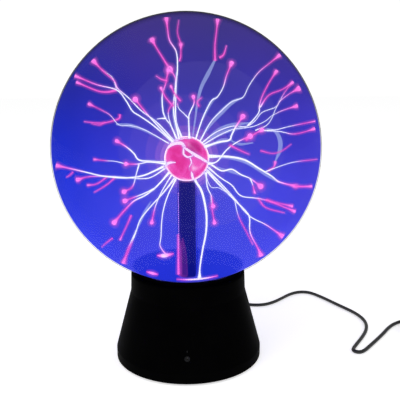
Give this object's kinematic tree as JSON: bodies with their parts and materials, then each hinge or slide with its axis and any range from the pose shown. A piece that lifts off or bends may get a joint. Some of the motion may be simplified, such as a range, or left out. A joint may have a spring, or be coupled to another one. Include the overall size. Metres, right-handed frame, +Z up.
{
  "type": "plasma ball",
  "caption": "Glass plasma globe with a central electrode on a flared black plastic base, with drive board, rear rocker switch, microphone port, power lead and wall adapter.",
  "frame": {"origin": "on the table, in the middle of the base, under the globe's axis", "axes": "+Z up the globe's axis, -Y towards the front of the base where the microphone is, +X to the right seen from the front"},
  "size_m": [0.347, 0.2327, 0.2632],
  "materials": {
    "clear_glass": "clear blown glass",
    "stem_glass": "clear glass tube and bulb",
    "glowing_wool": "fine steel wool behind the glass, glowing pink",
    "navy_sleeve": "dark blue insulating sleeve",
    "hv_wire": "silicone-insulated wire",
    "wire": "thin insulated wire",
    "black_plastic": "satin moulded plastic",
    "foam": "soft black foam",
    "black_rubber": "matte rubber",
    "grey_plastic": "plain moulded plastic",
    "screw_steel": "zinc-plated steel",
    "board": "green circuit board laminate",
    "ferrite": "dark grey sintered ferrite",
    "potting": "black potting resin",
    "sink_aluminium": "extruded, plain",
    "chip_black": "moulded epoxy",
    "can": "shrink sleeve over an aluminium can",
    "switch_plastic": "moulded nylon",
    "rocker_plastic": "smooth moulded plastic",
    "contact_metal": "tinned brass",
    "jack_plastic": "moulded plastic",
    "nickel": "nickel plate",
    "bezel_plastic": "moulded plastic ring",
    "plug_pvc": "moulded soft PVC",
    "cord_pvc": "smooth round PVC sheath",
    "tie_black": "plastic-covered twist tie",
    "adapter_plastic": "fine-textured moulded plastic"
  },
  "bodies": {
    "lamp": {"adapter_blades": "nickel", "adapter_board": "board", "adapter_case": "adapter_plastic", "adapter_cover": "adapter_plastic", "adapter_relief": "plug_pvc", "base_housing": "black_plastic", "base_plate": "black_plastic", "board_screws": "screw_steel", "capacitors": "can", "circuit_board": "board", "clamp_screws": "screw_steel", "control_chip": "chip_black", "cord_coil": "cord_pvc", "cord_tail": "cord_pvc", "cord_tie": "tie_black", "flyback_core": "ferrite", "flyback_winding": "potting", "glass_globe": "clear_glass", "glass_stem": "stem_glass", "globe_gasket": "foam", "heatsink": "sink_aluminium", "hv_lead": "hv_wire", "jack_body": "jack_plastic", "jack_leads": "wire", "jack_nut": "nickel", "jack_pin": "contact_metal", "jack_tabs": "contact_metal", "mic_bezel": "bezel_plastic", "mic_boot": "black_rubber", "mic_capsule": "nickel", "mic_leads": "wire", "neck_clamp": "grey_plastic", "plate_screws": "screw_steel", "plug_barrel": "nickel", "plug_grip": "plug_pvc", "power_cord": "cord_pvc", "power_transistor": "chip_black", "rubber_feet": "black_rubber", "steel_wool": "glowing_wool", "stem_sleeve": "navy_sleeve", "switch_body": "switch_plastic", "switch_leads": "wire", "switch_terminals": "contact_metal", "transistor_screw": "screw_steel"},
    "rocker": {"mode_rocker": "rocker_plastic"}
  },
  "joints": [
    {"name": "mode_switch", "type": "hinge", "parent": "lamp", "child": "rocker", "pos_m": [-0.01, 0.04, 0.022], "axis": [0, 0, 1], "range_deg": [-12, 12]}
  ]
}
